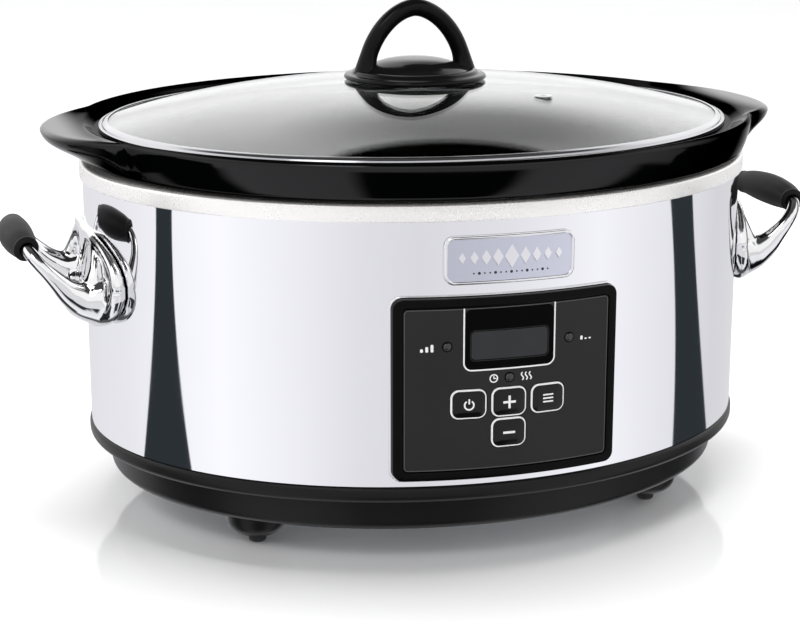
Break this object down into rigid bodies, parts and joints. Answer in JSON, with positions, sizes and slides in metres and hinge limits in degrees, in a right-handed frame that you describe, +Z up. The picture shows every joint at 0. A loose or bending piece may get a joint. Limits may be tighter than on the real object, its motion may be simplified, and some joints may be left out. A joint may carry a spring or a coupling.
{
  "type": "slow cooker",
  "caption": "Oval countertop slow cooker with lift-out stoneware crock, domed glass lid with arch knob, polished metal body, two loop handles and a push-button panel.",
  "frame": {"origin": "centre of the overall box, on the surface the feet stand on", "axes": "+Z up, +X along the long side between the handles, -Y towards the control panel"},
  "size_m": [0.4344, 0.322, 0.2596],
  "materials": {
    "glazed_stoneware": "black glossy glaze",
    "lid_glass": "clear tempered glass",
    "polished_rim": "polished stainless steel",
    "knob_plastic": "black glossy moulding",
    "gasket_rubber": "matte black silicone",
    "fastener_steel": "zinc plated",
    "wrap_mirror": "mirror polished stainless steel",
    "collar_satin": "satin brushed",
    "well_steel": "plain aluminised sheet",
    "heater_mica": "woven mica heating band",
    "fibre_blanket": "pale glass fibre felt",
    "base_plastic": "satin black moulding",
    "plate_steel": "plain sheet steel",
    "foot_rubber": "matte black rubber",
    "circuit_board": "green circuit board",
    "sensor_copper": "copper coloured metal",
    "wire_red": "red wire insulation",
    "wire_pale": "braided pale sleeve",
    "shield_foil": "plain sheet",
    "bezel_gloss": "black glossy frame",
    "fascia_matte": "fine matte overlay",
    "display_tint": "dark tinted window",
    "lcd_grey": "grey module",
    "button_gloss": "black glossy key",
    "lamp_lens": "dark translucent lens",
    "badge_metal": "satin plate with polished edge",
    "casting_chrome": "chrome plated casting",
    "grip_soft": "soft matte grip",
    "gland_rubber": "matte black rubber"
  },
  "bodies": {
    "heater_base": {"wrap_shell": "wrap_mirror", "collar_ring": "collar_satin", "heating_well": "well_steel", "heater_band": "heater_mica", "insulation_blanket": "fibre_blanket", "base_skirt": "base_plastic", "bottom_plate": "plate_steel", "tie_bolt": "fastener_steel", "tie_nut": "fastener_steel", "power_board": "circuit_board", "temperature_sensor": "sensor_copper", "thermal_cutoff": "wire_pale", "control_board": "circuit_board", "lcd_module": "lcd_grey", "heat_shield": "shield_foil", "control_harness": "wire_red", "heater_lead_a": "wire_pale", "heater_lead_b": "wire_pale", "cord_gland": "gland_rubber", "panel_bezel": "bezel_gloss", "panel_fascia": "fascia_matte", "display_window": "display_tint", "badge": "badge_metal", "foot_boss_front_left": "base_plastic", "foot_pad_front_left": "foot_rubber", "handle_screw_front_left": "fastener_steel", "foot_boss_front_right": "base_plastic", "foot_pad_front_right": "foot_rubber", "handle_screw_front_right": "fastener_steel", "foot_boss_back_left": "base_plastic", "foot_pad_back_left": "foot_rubber", "handle_screw_back_left": "fastener_steel", "foot_boss_back_right": "base_plastic", "foot_pad_back_right": "foot_rubber", "handle_screw_back_right": "fastener_steel", "led_high": "lamp_lens", "led_low": "lamp_lens", "led_warm": "lamp_lens", "handle_casting_left": "casting_chrome", "handle_grip_left": "grip_soft", "handle_casting_right": "casting_chrome", "handle_grip_right": "grip_soft"},
    "crock": {"stoneware_crock": "glazed_stoneware"},
    "lid": {"lid_glass": "lid_glass", "lid_rim": "polished_rim", "lid_knob": "knob_plastic", "knob_gasket": "gasket_rubber", "knob_screw_washer": "fastener_steel", "knob_screw": "fastener_steel", "vent_grommet": "polished_rim"},
    "button_power": {"button_power": "button_gloss"},
    "button_plus": {"button_plus": "button_gloss"},
    "button_minus": {"button_minus": "button_gloss"},
    "button_mode": {"button_mode": "button_gloss"}
  },
  "joints": [
    {"name": "crock_lift", "type": "slide", "parent": "heater_base", "child": "crock", "axis": [0, 0, 1], "range_m": [0, 0.2]},
    {"name": "lid_lift", "type": "slide", "parent": "crock", "child": "lid", "axis": [0, 0, 1], "range_m": [0, 0.15]},
    {"name": "button_power_press", "type": "slide", "parent": "heater_base", "child": "button_power", "axis": [0, 1, 0], "range_m": [0, 0.0008], "stiffness_N_per_m": 1200},
    {"name": "button_plus_press", "type": "slide", "parent": "heater_base", "child": "button_plus", "axis": [0, 1, 0], "range_m": [0, 0.0008], "stiffness_N_per_m": 1200},
    {"name": "button_minus_press", "type": "slide", "parent": "heater_base", "child": "button_minus", "axis": [0, 1, 0], "range_m": [0, 0.0008], "stiffness_N_per_m": 1200},
    {"name": "button_mode_press", "type": "slide", "parent": "heater_base", "child": "button_mode", "axis": [0, 1, 0], "range_m": [0, 0.0008], "stiffness_N_per_m": 1200}
  ]
}
